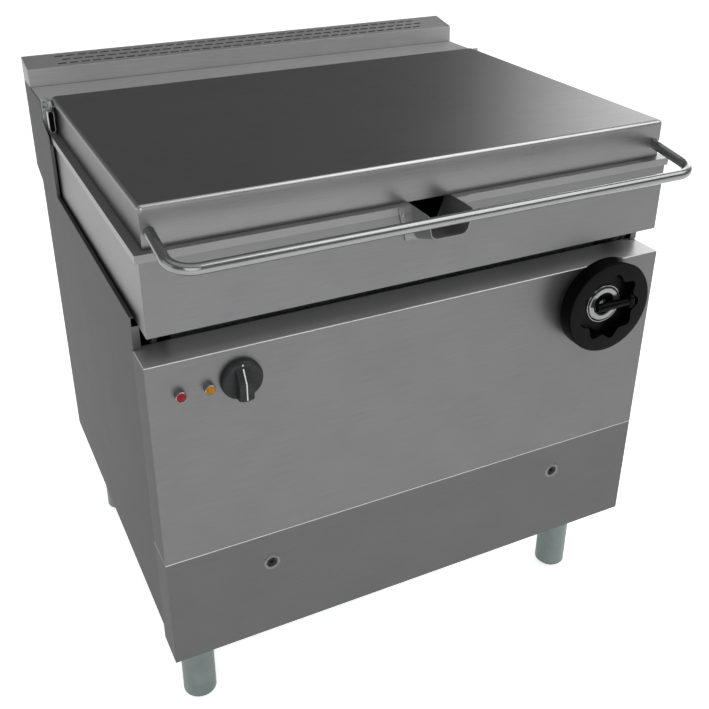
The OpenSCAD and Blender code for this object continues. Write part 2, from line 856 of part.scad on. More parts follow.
module shaft_bushes() {
    color([0.72, 0.55, 0.25])
        placed() {
            flanged_bush_y(wheel_x, wheel_z, 0, sheet + 5, input_shaft_r);
            flanged_bush_y(wheel_x, wheel_z, plate2_y0, plate2_y0 + plate2_t, input_shaft_r);
            flanged_bush_y(worm_x, worm_z, plate2_y0, plate2_y0 + plate2_t, worm_shaft_r);
            flanged_bush_y(worm_x, worm_z, plate3_y0, plate3_y0 + plate3_t, worm_shaft_r);
            difference() {
                rod_x(plate_x0, plate_x0 + plate_t, shaft_b_y, shaft_b_z, shaft_b_r + fit + bush_t);
                rod_x(plate_x0 - 1, plate_x0 + plate_t + 1, shaft_b_y, shaft_b_z, shaft_b_r + fit);
            }
        }
}

module handwheel() {
    hub_back_r = 22;
    color([0.05, 0.05, 0.05])
        placed()
            translate([wheel_x, 0, wheel_z])
                rotate([90, 0, 0]) {
                    difference() {
                        rotate_extrude($fn = 96)
                            polygon([[input_shaft_r, 3], [hub_back_r, 3], [hub_back_r, -wheel_back_y + 2],
                                     [wheel_r - 12, -wheel_back_y + 2], [wheel_r - 8, -wheel_back_y],
                                     [wheel_r - 2, -wheel_back_y], [wheel_r, -wheel_back_y + 2],
                                     [wheel_r, -wheel_face_y - 3], [wheel_r - 1, -wheel_face_y - 1],
                                     [wheel_r - 3, -wheel_face_y], [dish_r - 12, -wheel_face_y],
                                     [dish_r - 12, -dish_y], [input_shaft_r, -dish_y]]);
                        translate([0, 0, -dish_y])
                            linear_extrude(wheel_t)
                                dish_outline();
                    }
                    for (side = [-1, 1])
                        translate([crank_x - wheel_x, side * 9.5 - 2.5, 0])
                            difference() {
                                union() {
                                    translate([-5, 0, -dish_y - 1])
                                        cube([10, 5, dish_y - grip_y + 1]);
                                    translate([0, 0, -grip_y])
                                        rotate([-90, 0, 0])
                                            cylinder(r = 5, h = 5);
                                }
                                translate([0, -1, -grip_y])
                                    rotate([-90, 0, 0])
                                        cylinder(r = crank_pin_r, h = 7);
                            }
                }
}

// The wheel's recess, with a wavy edge of soft lobes for the fingers
module dish_outline() {
    polygon([for (a = [0:3:357])
        let (wave = cos(lobe_n * a), rho = dish_r - 5 + 5 * wave)
            on_circle(rho, a)]);
}

module hub_ring() {
    color([0.75, 0.75, 0.75])
        placed()
            translate([wheel_x, dish_y, wheel_z])
                rotate([90, 0, 0]) {
                    rotate_extrude()
                        polygon([[20, 0], [30, 0], [30, ring_h - 0.8], [28.5, ring_h], [21.5, ring_h],
                                 [20, ring_h - 0.8]]);
                    rotate_extrude()
                        polygon([[32, 0], [34, 0], [34, 1.4], [33.5, 1.8], [32, 1.4]]);
                }
}

module handwheel_shaft() {
    color([0.65, 0.65, 0.65])
        placed() {
            rod_y(dish_y + 4, plate2_y0 + plate2_t + 6, wheel_x, wheel_z, input_shaft_r);
            rod_y(plate2_y0 + plate2_t + 1, plate2_y0 + plate2_t + 4, wheel_x, wheel_z, input_shaft_r + 3);
        }
}

module spur_gear(x, z, n, r, first_a, bore_r) {
    translate([x, gear_y0 + gear_t, z])
        rotate([90, 0, 0])
            rotate(first_a)
                difference() {
                    linear_extrude(gear_t)
                        gear_teeth(2 * r / n, n, play);
                    translate([0, 0, -1])
                        cylinder(r = bore_r, h = gear_t + 2);
                    for (i = [0:4])
                        rotate(i * 72)
                            translate([r * 0.56, 0, -1])
                                cylinder(r = r * 0.16, h = gear_t + 2);
                }
}

module input_gear() {
    color([0.60, 0.60, 0.60])
        placed()
            spur_gear(wheel_x, wheel_z, input_n, input_r, train_a, input_shaft_r);
}

module worm_gear() {
    color([0.60, 0.60, 0.60])
        placed()
            spur_gear(worm_x, worm_z, output_n, output_r, train_a + 180 + 180 / output_n, worm_shaft_r);
}

// Worm: one thread swept round the shaft as a rack-shaped ridge
thread_steps = 24;
thread_turns = worm_l / lead - 1;
function thread_ring(i) =
    let (a = i * 360 / thread_steps, y = lead * (i / thread_steps - thread_turns / 2),
         tip = lead / 4 - worm_play / 2 - worm_m * tan(20), root = lead / 4 - worm_play / 2 + (worm_m + 1) * tan(20),
         r0 = worm_r - worm_m - 1, r1 = worm_r + worm_m)
        [[r0 * sin(a), y - root, r0 * cos(a)], [r1 * sin(a), y - tip, r1 * cos(a)],
         [r1 * sin(a), y + tip, r1 * cos(a)], [r0 * sin(a), y + root, r0 * cos(a)]];

module worm_thread() {
    n = round(thread_turns * thread_steps);
    points = [for (i = [0:n]) each thread_ring(i)];
    sides = [for (i = [0:n - 1], k = [0:3]) let (a = 4 * i + k, b = 4 * i + (k + 1) % 4)
        each [[a, b, b + 4], [a, b + 4, a + 4]]];
    polyhedron(points, concat([[3, 2, 1, 0]], sides, [[4 * n, 4 * n + 1, 4 * n + 2, 4 * n + 3]]));
}

module worm() {
    turn = -360 * thread_turns / 2;
    color([0.70, 0.70, 0.70])
        placed() {
            rod_y(gear_y0, plate3_y0 + plate3_t + 5, worm_x, worm_z, worm_shaft_r);
            rod_y(shaft_b_y - worm_l / 2, shaft_b_y + worm_l / 2, worm_x, worm_z, worm_r - worm_m - 0.4);
            translate([worm_x, shaft_b_y, worm_z])
                mirror([1, 0, 0])
                    rotate([0, turn, 0])
                        worm_thread();
        }
}

module worm_wheel() {
    color([0.72, 0.55, 0.25])
        placed()
            difference() {
                along_x(worm_wheel_x0, worm_wheel_x0 + worm_wheel_w)
                    translate([shaft_b_y, shaft_b_z])
                        rotate(-90 + 180 / wheel_n)
                            gear_teeth(worm_m, wheel_n, worm_play);
                rod_x(worm_wheel_x0 - 1, worm_wheel_x0 + worm_wheel_w + 1, shaft_b_y, shaft_b_z, shaft_b_r);
            }
}

module pinion() {
    color([0.60, 0.60, 0.60])
        placed()
            difference() {
                along_x(lug_x, lug_x + lug_t)
                    translate([shaft_b_y, shaft_b_z])
                        rotate(mesh_a + 180 + 180 / pinion_n)
                            gear_teeth(quad_m, pinion_n, play);
                rod_x(lug_x - 1, lug_x + lug_t + 1, shaft_b_y, shaft_b_z, shaft_b_r);
            }
}

module pinion_shaft() {
    color([0.65, 0.65, 0.65])
        placed() {
            rod_x(worm_wheel_x0 - 4, lug_x + lug_t + 3, shaft_b_y, shaft_b_z, shaft_b_r);
            rod_x(plate_x0 + plate_t + 0.4, lug_x, shaft_b_y, shaft_b_z, shaft_b_r + 3);
        }
}

module fold_knuckle_frame() {
    translate([crank_x, grip_y, wheel_z])
        children();
}

module crank_pin() {
    color([0.70, 0.70, 0.70])
        placed()
            fold_knuckle_frame()
                translate([0, 0, -12])
                    cylinder(r = crank_pin_r, h = 24);
}

module crank_knuckle() {
    color([0.70, 0.70, 0.70])
        placed()
            fold_knuckle_frame()
                difference() {
                    union() {
                        translate([0, 0, -6.5])
                            cylinder(r = crank_r, h = 13);
                        rod_x(-12 - grip_l, 0, 0, 0, 3);
                    }
                    translate([0, 0, -8])
                        cylinder(r = crank_pin_r + fit, h = 16);
                }
}

module crank_grip() {
    color([0.05, 0.05, 0.05])
        placed()
            fold_knuckle_frame()
                translate([-8, 0, 0])
                    rotate([0, -90, 0])
                        difference() {
                            rotate_extrude()
                                polygon([[0, 0], [grip_r - 2, 0], [grip_r - 1.2, 2], [grip_r - 1.6, 12],
                                         [grip_r - 0.6, grip_l * 0.45], [grip_r, grip_l * 0.75],
                                         [grip_r - 0.4, grip_l - 2], [grip_r - 2.4, grip_l + 6], [0, grip_l + 8]]);
                            translate([0, 0, -1])
                                cylinder(r = 3 + fit, h = grip_l + 6);
                        }
}

// Pan

vessel_inner = [[vessel_front_y - 4, rim_z + 10], [vessel_front_y, rim_z], [vessel_toe_y, vessel_floor_z],
                [vessel_rear_y, vessel_floor_z], [vessel_rear_y, rim_z + 10]];
vessel_outer = [[vessel_front_y - vessel_t, rim_z - eps], [vessel_toe_y - vessel_t, vessel_under_z],
                [vessel_rear_y + vessel_t, vessel_under_z], [vessel_rear_y + vessel_t, rim_z - eps]];

// Section of the pouring lip's channel at depth d, grown by t
module lip_section(t, d = lip_d) {
    r = 12 + t;
    hull() {
        for (side = [-1, 1])
            translate([side * (lip_w / 2 - 17), rim_z - d + 12])
                circle(r, $fn = 32);
        translate([-lip_w / 2 - t, rim_z - 4])
            square([lip_w + 2 * t, 4]);
    }
}

// The channel's body, running deeper towards the pan
module lip_body(t) {
    hull() {
        along_y(-lip_reach - 1, -lip_reach)
            lip_section(t);
        along_y(rim_y - 2, rim_y - 1)
            lip_section(t, lip_d + lip_drop);
    }
    along_y(rim_y - 1.5, vessel_front_y + 3)
        lip_section(t, lip_d + lip_drop);
}

module pan_vessel() {
    color([0.58, 0.58, 0.58])
        placed()
            difference() {
                union() {
                    intersection() {
                        along_x(-vessel_half, vessel_half)
                            polygon(vessel_outer);
                        translate([0, 0, vessel_under_z - 1])
                            linear_extrude(rim_z)
                                round_rect(-vessel_half, vessel_half, vessel_front_y - vessel_t - 10,
                                           vessel_rear_y + vessel_t, corner_r + vessel_t);
                    }
                    box(-rim_half, rim_half, rim_y, pan_rear_y, rim_under_z, rim_z);
                    difference() {
                        box(-rim_half, rim_half, rim_y, pan_rear_y, rim_z - rim_drop, rim_z - 1);
                        box(-rim_half + casing_t, rim_half - casing_t, pan_y, pan_rear_y - casing_t,
                            rim_z - rim_drop - 1, rim_z);
                    }
                }
                intersection() {
                    along_x(-vessel_w / 2, vessel_w / 2)
                        polygon(vessel_inner);
                    translate([0, 0, vessel_floor_z])
                        linear_extrude(rim_z)
                            round_rect(-vessel_w / 2, vessel_w / 2, vessel_front_y - 12, vessel_rear_y, corner_r);
                }
                along_y(-lip_reach, vessel_front_y + 20)
                    lip_section(1.5, lip_d + lip_drop);
                box(-lip_w / 2 - 1.5, lip_w / 2 + 1.5, -lip_reach, vessel_front_y + 5, rim_z - 2, rim_z + 5);
            }
}

module pan_casing() {
    flange_half = plate_x0 - 20;
    color([0.54, 0.54, 0.54])
        placed()
            difference() {
                union() {
                    difference() {
                        box(-pan_half, pan_half, pan_y, pan_rear_y - casing_t, pan_foot_z, rim_under_z);
                        box(-pan_half + casing_t, pan_half - casing_t, pan_y + casing_t,
                            pan_rear_y - 2 * casing_t, pan_foot_z - 1, rim_z);
                    }
                    box(-pan_half + casing_t, pan_half - casing_t, pan_rear_y - 24, pan_rear_y - 2 * casing_t,
                        pan_foot_z, pan_foot_z + casing_t);
                    box(-flange_half, flange_half, pan_y + casing_t, pan_y + 12, pan_foot_z,
                        pan_foot_z + casing_t);
                }
                along_y(-5, 20)
                    lip_section(1.5, lip_d + lip_drop);
                box(-lip_w / 2 - 1.5, lip_w / 2 + 1.5, -5, 20, rim_z - 3, rim_z + 5);
            }
}

ear_w = 24;
ear_foot_w = 10;
ear_drop = 54;

module pouring_lip() {
    color([0.58, 0.58, 0.58])
        placed()
            difference() {
                union() {
                    intersection() {
                        lip_body(1.5);
                        box(-lip_w, lip_w, -lip_reach, vessel_front_y + 2, rim_z - 2 * lip_d, rim_z);
                    }
                    along_y(rim_y - 1.5, rim_y)
                        for (side = [-1, 1])
                            polygon([[side * lip_w / 3, rim_z - ear_drop], [side * lip_w / 3, rim_z - 0.5],
                                     [side * (lip_w / 2 + ear_w), rim_z - 0.5],
                                     [side * (lip_w / 2 + ear_foot_w), rim_z - ear_drop]]);
                }
                lip_body(0);
                box(-lip_w / 2, lip_w / 2, -lip_reach - 1, vessel_front_y + 3, rim_z - 3, rim_z + 5);
            }
}

lip_rivet_places = [for (side = [-1, 1]) [side * (lip_w / 2 + 15), rim_z - 12]];

module lip_rivets() {
    color([0.70, 0.70, 0.70])
        placed()
            for (p = lip_rivet_places)
                translate([p[0], rim_y - 1.5, p[1]])
                    rotate([90, 0, 0])
                        rotate_extrude()
                            polygon([[0, 0], [4, 0], [3.6, 1.2], [2.2, 2.1], [0, 2.4]]);
}

module pan_base_plate() {
    color([0.35, 0.35, 0.36])
        placed()
            box(-tray_half + 6, tray_half - 6, vessel_toe_y + 12, vessel_rear_y - 8, base_plate_z, vessel_under_z);
}

module heating_elements() {
    loops = 4;
    z = base_plate_z - element_r;
    plate_d = vessel_rear_y - vessel_toe_y;
    pitch = plate_d / (loops + 0.5);
    reach = tray_half - pitch / 2;
    first_y = vessel_toe_y + pitch / 2;
    color([0.30, 0.28, 0.26])
        placed()
            for (i = [0:loops - 1])
                translate([0, first_y + i * pitch, z]) {
                    for (y = [0, pitch / 2])
                        rod_x(-reach, reach, y, 0, element_r);
                    for (quarter = [-90, 0])
                        translate([reach, pitch / 4, 0])
                            rotate(quarter)
                                rotate_extrude(angle = 90)
                                    translate([pitch / 4, 0])
                                        circle(element_r);
                }
}

module insulation() {
    color([0.85, 0.82, 0.72])
        placed()
            box(-tray_half + sheet, tray_half - sheet, vessel_toe_y + 3 + sheet, vessel_rear_y - 3 - sheet,
                tray_z + sheet, tray_z + 14);
}

module element_tray() {
    color([0.60, 0.61, 0.61])
        placed()
            difference() {
                box(-tray_half, tray_half, vessel_toe_y + 3, vessel_rear_y - 3, tray_z, vessel_under_z);
                box(-tray_half + sheet, tray_half - sheet, vessel_toe_y + 3 + sheet, vessel_rear_y - 3 - sheet,
                    tray_z + sheet, vessel_under_z + 1);
            }
}

// The lug that hangs the pan on its pivot, with the web that welds it to the vessel
web_y0 = pivot_y + 62;
web_y1 = pivot_y + (vessel_rear_y - pivot_y) / 2;

module lug_outline() {
    polygon([[pivot_y - hub_r + 5, pivot_z + 3], [pivot_y, web_z], [web_y1, web_z], [web_y1, web_z + 22], [pivot_y + 10, web_z + 22]]);
}

module lug_body() {
    along_x(lug_x, lug_x + lug_t)
        lug_outline();
    rod_x(plate_x0 + plate_t + clear, lug_x + lug_t + 1, pivot_y, pivot_z, hub_r);
    box(vessel_half, lug_x, web_y0, web_y1, web_z, web_z + web_t);
}

module lug_bore() {
    rod_x(plate_x0, lug_x + lug_t + 5, pivot_y, pivot_z, pivot_d / 2 + fit + bush_t);
}

module pivot_lug_left() {
    color([0.42, 0.43, 0.43])
        placed()
            mirror([1, 0, 0])
                difference() {
                    lug_body();
                    lug_bore();
                }
}

quad_step = 360 / quad_n;
quad_first = -ceil((tilt_max + 1) / quad_step);
quad_last = 1;
quad_rim_r = quad_r - 22;
quad_recess = 1;
// The web starts behind the ledge's rear corner, as seen from the pivot
quad_web_a = 6 - atan2(pivot_z - ledge_z + fold_h, ledge_in - pivot_y);

module gear_quadrant() {
    first_a = quad_first * quad_step;
    last_a = quad_last * quad_step;
    web_end = mesh_a + last_a + 2;
    web_mid = (quad_web_a + web_end) / 2;
    color([0.60, 0.60, 0.60])
        placed()
            difference() {
                union() {
                    lug_body();
                    translate([lug_x, pivot_y, pivot_z])
                        rotate([90, 0, 90]) {
                            rotate(quad_web_a)
                                rotate_extrude(angle = web_end - quad_web_a)
                                    translate([0, quad_recess])
                                        square([quad_rim_r + 4, lug_t - 2 * quad_recess]);
                            rotate(mesh_a)
                                linear_extrude(lug_t)
                                    polygon(concat(gear_outline(quad_m, quad_n, play, quad_first, quad_last),
                                                   [for (a = [last_a:-4:first_a]) on_circle(quad_rim_r, a)],
                                                   [on_circle(quad_rim_r, first_a - 2)]));
                        }
                }
                lug_bore();
                for (a = [web_mid - 13, web_mid + 13])
                    rod_x(lug_x - 1, lug_x + lug_t + 1, pivot_y + 98 * cos(a), pivot_z + 98 * sin(a), 15);
            }
}

module pivot_bushes() {
    color([0.72, 0.55, 0.25])
        placed()
            both_sides()
                difference() {
                    rod_x(plate_x0 + plate_t + clear, lug_x + lug_t + 1, pivot_y, pivot_z,
                          pivot_d / 2 + fit + bush_t);
                    rod_x(plate_x0, lug_x + lug_t + 5, pivot_y, pivot_z, pivot_d / 2 + fit);
                }
}

module lid_brackets() {
    plate_y = lid_rear_y + 1;
    slot_z = hinge_z + 4;
    color([0.62, 0.67, 0.66])
        placed()
            both_sides()
                difference() {
                    union() {
                        along_x(bracket_x, bracket_x + bracket_t)
                            polygon([[hinge_y - 10, rim_z], [lid_rear_y - 0.5, rim_z], [plate_y + 3, rim_z + 3],
                                     [plate_y + 3, hinge_z + 11], [hinge_y - 7, hinge_z + 11],
                                     [hinge_y - 12, hinge_z + 3]]);
                        box(bracket_x, half_w, plate_y, plate_y + 3, hinge_z - 24, hinge_z + 12);
                    }
                    rod_x(bracket_x - 1, bracket_x + bracket_t + 1, hinge_y, hinge_z, hinge_r + fit);
                    for (z = [slot_z - 8, slot_z])
                        box(half_w - 7, half_w - 2, plate_y - 1, plate_y + 4, z, z + 2.5);
                }
}

// Lid

module lid_block(x, y0, y1, z0, z1, r) {
    translate([0, 0, z0])
        linear_extrude(z1 - r - z0)
            round_rect(-x, x, y0, y1, r);
    translate([0, 0, z1 - r - eps])
        linear_extrude(r + eps)
            round_rect(-x + r, x - r, y0 + r, y1 - r, eps);
    for (y = [y0 + r, y1 - r])
        rod_x(-x + r, x - r, y, z1 - r, r);
    for (sx = [-x + r, x - r]) {
        rod_y(y0 + r, y1 - r, sx, z1 - r, r);
        for (y = [y0 + r, y1 - r])
            translate([sx, y, z1 - r])
                sphere(r);
    }
}

lid_in = lid_half - lid_bead - lid_t;
lid_wall_y = lid_y + lid_bead + lid_t;
bead_z = lid_top_z - lid_r - 3;

module lid_skin() {
    color([0.50, 0.50, 0.50])
        placed()
            difference() {
                lid_block(lid_half, lid_y, lid_rear_y, lid_z, lid_top_z, lid_r);
                box(-lid_in, lid_in, lid_wall_y, lid_rear_y - lid_bead - lid_t, lid_z - 1, lid_top_z - lid_r);
                box(-lid_half + lid_r, lid_half - lid_r, lid_y + lid_r, lid_rear_y - lid_r, lid_z,
                    lid_top_z - lid_t);
                both_sides()
                    box(lid_half - lid_bead, lid_half + 1, lid_y - 1, lid_rear_y + 1, lid_z - 1, bead_z);
                box(-lid_half - 1, lid_half + 1, lid_y - 1, lid_y + lid_bead, lid_z - 1, bead_z);
                box(-lid_half - 1, lid_half + 1, lid_rear_y - lid_bead, lid_rear_y + 1, lid_z - 1, bead_z);
                rod_x(-lid_half - 1, lid_half + 1, hinge_y, hinge_z, hinge_r);
                box(-lid_half - 1, lid_half + 1, lid_rear_y - 14, lid_rear_y + 1, lid_z - 1, lid_z + 2);
            }
}

module lid_liner() {
    color([0.60, 0.60, 0.60])
        placed()
            difference() {
                box(-lid_in, lid_in, lid_wall_y, hinge_y - 10, lid_top_z - 30, lid_top_z - lid_r);
                box(-lid_in + lid_t, lid_in - lid_t, lid_wall_y + lid_t, hinge_y - 10 - lid_t,
                    lid_top_z - 30 + lid_t, lid_top_z);
            }
}

// The bar's arms meet the lid's front wall and slope down to the bar
module lid_handle() {
    arm_l = (bar_reach + lid_y + lid_bead) / cos(bar_slope);
    bar_r = bar_tube / 2;
    straight_r = bar_r - eps;
    lap = 0.5;
    color([0.65, 0.65, 0.65])
        placed()
            difference() {
                translate([0, lid_y + lid_bead, bar_z])
                    rotate([bar_slope, 0, 0]) {
                        rod_x(-bar_half + bar_bend - lap, bar_half - bar_bend + lap, -arm_l, 0, straight_r);
                        both_sides() {
                            rod_y(-arm_l + bar_bend - lap, 5, bar_half, 0, straight_r);
                            translate([bar_half - bar_bend, -arm_l + bar_bend, 0])
                                rotate(-90)
                                    rotate_extrude(angle = 90)
                                        translate([bar_bend, 0])
                                            circle(bar_r);
                        }
                    }
                box(-half_w, half_w, lid_y + lid_bead, lid_y + 4 * bar_tube, bar_z - bar_tube, bar_z + bar_tube);
            }
}

module lid_shaft() {
    color([0.65, 0.65, 0.65])
        placed()
            rod_x(-bracket_x - bracket_t - 0.4, bracket_x + bracket_t + 0.4, hinge_y, hinge_z, hinge_r);
}

side_panel_left();
side_panel_right();
back_panel();
base_tray();
rear_column();
flue_cover();
flue_grille();
control_panel();
lower_panel();
panel_rail();
support_beam();
leg_collars();
pan_rest_pads();
cup_washers();
panel_screws();
light_bezels();
lens_red();
lens_amber();
thermostat();
contactor();
terminal_block();
cable_gland();
pivot_bracket_left();
drive_frame();
pivot_pins();
shaft_bushes();
foot_front_left();
foot_front_right();
foot_rear_left();
foot_rear_right();
control_knob();
knob_pointer();
handwheel();
hub_ring();
handwheel_shaft();
input_gear();
crank_pin();
crank_knuckle();
crank_grip();
worm();
worm_gear();
worm_wheel();
pinion();
pinion_shaft();
pan_vessel();
pan_base_plate();
pan_casing();
pouring_lip();
lip_rivets();
heating_elements();
insulation();
element_tray();
gear_quadrant();
pivot_lug_left();
pivot_bushes();
lid_brackets();
lid_skin();
lid_liner();
lid_handle();
lid_shaft();
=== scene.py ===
import math

import bmesh
import bpy
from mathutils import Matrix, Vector


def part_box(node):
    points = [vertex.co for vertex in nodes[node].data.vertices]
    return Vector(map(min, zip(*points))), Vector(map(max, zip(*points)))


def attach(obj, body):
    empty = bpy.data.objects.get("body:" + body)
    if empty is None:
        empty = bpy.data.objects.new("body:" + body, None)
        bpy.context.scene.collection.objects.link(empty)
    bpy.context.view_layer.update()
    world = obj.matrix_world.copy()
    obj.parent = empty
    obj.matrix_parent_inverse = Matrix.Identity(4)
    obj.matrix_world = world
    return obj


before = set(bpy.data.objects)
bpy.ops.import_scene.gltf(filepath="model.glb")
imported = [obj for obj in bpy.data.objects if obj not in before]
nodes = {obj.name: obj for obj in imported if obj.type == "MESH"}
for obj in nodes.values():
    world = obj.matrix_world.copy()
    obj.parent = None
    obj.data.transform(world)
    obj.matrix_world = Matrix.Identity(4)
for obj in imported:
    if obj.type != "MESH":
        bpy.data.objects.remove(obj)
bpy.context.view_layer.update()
mm = 0.001


# Colours are written as sRGB hex, and shaders take linear values
def linear(hexColour):
    channels = [int(hexColour[i:i + 2], 16) / 255 for i in (1, 3, 5)]
    return tuple(c / 12.92 if c <= 0.04045 else ((c + 0.055) / 1.055) ** 2.4
                 for c in channels) + (1.0,)


# Adds a node with its settings and input values, and links its inputs
def addNode(tree, kind, values=None, links=None, **settings):
    node = tree.nodes.new(kind)
    for name, value in settings.items():
        setattr(node, name, value)
    for name, value in (values or {}).items():
        node.inputs[name].default_value = value
    for name, socket in (links or {}).items():
        tree.links.new(socket, node.inputs[name])
    return node


# Values that carry one range of numbers over to another
def span(fromMin, fromMax, toMin, toMax):
    return {"From Min": fromMin, "From Max": fromMax, "To Min": toMin, "To Max": toMax}


# The two colours of a mix, at its inputs 6 and 7
def shades(dark, light):
    return {6: linear(dark), 7: linear(light)}


def startMaterial(name):
    material = bpy.data.materials.new(name)
    material.use_nodes = True
    tree = material.node_tree
    tree.nodes.clear()
    shader = addNode(tree, "ShaderNodeBsdfPrincipled")
    addNode(tree, "ShaderNodeOutputMaterial", links={"Surface": shader.outputs["BSDF"]}, target="ALL")
    coordinates = addNode(tree, "ShaderNodeTexCoord").outputs
    return material, tree, shader, coordinates


# A noise whose cells are given in millimetres along X, Y and Z
def noiseField(tree, place, cell, detail, roughness=0.5):
    stretch = addNode(tree, "ShaderNodeMapping", {"Scale": tuple(1 / (c * mm) for c in cell)},
                      {"Vector": place})
    noise = addNode(tree, "ShaderNodeTexNoise",
                    {"Scale": 1.0, "Detail": detail, "Roughness": roughness},
                    {"Vector": stretch.outputs["Vector"]})
    return noise.outputs["Fac"]


# How scratches and clouds move the shade, and which faces, by how far up they look, get painted top
# light and the painted highlight of a fold.
# The depth of a scratch is in millimetres
brushing = {
    "scratches": span(0.3, 0.7, -0.5, 0.5),
    "clouds": span(0.35, 0.65, 0.38, 0.62),
    "wiped": span(0.6, 0.95, 0.0, 1.0),
    "rising": span(0.08, 0.3, 0.0, 1.0),
    "level": span(0.9, 0.98, 1.0, 0.0),
    "depth": 0.05,
}


# Faces that look up are painted paler as top light, and folds between level and upright faces are
# painted bright as a highlight
def wearTops(tree, colour, upward, look):
    wiped = addNode(tree, "ShaderNodeMapRange", brushing["wiped"], {"Value": upward})
    paler = addNode(tree, "ShaderNodeMix", {7: linear(look["top"])},
                    {0: wiped.outputs["Result"], 6: colour}, data_type="RGBA")
    rising = addNode(tree, "ShaderNodeMapRange", brushing["rising"], {"Value": upward})
    level = addNode(tree, "ShaderNodeMapRange", brushing["level"], {"Value": upward})
    onFold = addNode(tree, "ShaderNodeMath", operation="MULTIPLY",
                     links={0: rising.outputs["Result"], 1: level.outputs["Result"]})
    worn = addNode(tree, "ShaderNodeMix", {7: linear(look["worn"])},
                   {0: onFold.outputs["Value"], 6: paler.outputs[2]}, data_type="RGBA")
    return worn.outputs[2]


# Brushed sheet steel: fine scratches along one axis, faint cloudy handling marks
def brushedSteel(look):
    material, tree, shader, coordinates = startMaterial(look["name"])
    place = coordinates["Object"]
    grain = [look["scratchWidth"]] * 3
    grain["XYZ".index(look["along"])] = look["scratchLength"]
    scratches = noiseField(tree, place, grain, detail=3.0, roughness=0.6)
    clouds = noiseField(tree, place, [look["cloud"]] * 3, detail=4.0, roughness=0.55)
    fine = addNode(tree, "ShaderNodeMapRange", brushing["scratches"], {"Value": scratches})
    broad = addNode(tree, "ShaderNodeMapRange", brushing["clouds"], {"Value": clouds})
    mixed = addNode(tree, "ShaderNodeMath", operation="ADD",
                    links={0: fine.outputs["Result"], 1: broad.outputs["Result"]}).outputs["Value"]
    colour = addNode(tree, "ShaderNodeMix", shades(look["dark"], look["light"]), {0: mixed},
                     data_type="RGBA").outputs[2]
    # Painted top light on upward faces and a painted highlight on folds, for the looks that give them
    if "top" in look:
        upward = addNode(tree, "ShaderNodeSeparateXYZ", links={"Vector": coordinates["Normal"]})
        colour = wearTops(tree, colour, upward.outputs["Z"], look)
    gloss = addNode(tree, "ShaderNodeMapRange", span(0.0, 1.0, look["glossy"], look["dull"]),
                    {"Value": mixed})
    bump = addNode(tree, "ShaderNodeBump",
                   {"Strength": look["bump"], "Distance": brushing["depth"] * mm},
                   {"Height": scratches})
    tree.links.new(colour, shader.inputs["Base Color"])
    tree.links.new(gloss.outputs["Result"], shader.inputs["Roughness"])
    tree.links.new(bump.outputs["Normal"], shader.inputs["Normal"])
    shader.inputs["Metallic"].default_value = look["metallic"]
    shader.inputs["Specular IOR Level"].default_value = look["specular"]
    shader.inputs["Specular Tint"].default_value = linear(look["edgeTint"])
    return material


# How clouds move the shade of a moulding or paint, and the depth of its skin in millimetres
moulding = {"clouds": (0.3, 0.7), "depth": 0.1}


# Moulded plastic or paint: a fine orange-peel skin with slight colour variation
def mouldedSkin(look):
    material, tree, shader, coordinates = startMaterial(look["name"])
    place = coordinates["Object"]
    grain = noiseField(tree, place, [look["grain"]] * 3, detail=2.0)
    clouds = noiseField(tree, place, [look["cloud"]] * 3, detail=3.0)
    cloudy = addNode(tree, "ShaderNodeMapRange", span(*moulding["clouds"], 0.0, 1.0), {"Value": clouds})
    colour = addNode(tree, "ShaderNodeMix", shades(look["dark"], look["light"]),
                     {0: cloudy.outputs["Result"]}, data_type="RGBA")
    gloss = addNode(tree, "ShaderNodeMapRange",
                    span(*moulding["clouds"], look["glossy"], look["dull"]), {"Value": clouds})
    bump = addNode(tree, "ShaderNodeBump",
                   {"Strength": look["bump"], "Distance": moulding["depth"] * mm},
                   {"Height": grain})
    tree.links.new(colour.outputs[2], shader.inputs["Base Color"])
    tree.links.new(gloss.outputs["Result"], shader.inputs["Roughness"])
    tree.links.new(bump.outputs["Normal"], shader.inputs["Normal"])
    shader.inputs["Metallic"].default_value = look["metallic"]
    shader.inputs["Specular IOR Level"].default_value = look["specular"]
    return material


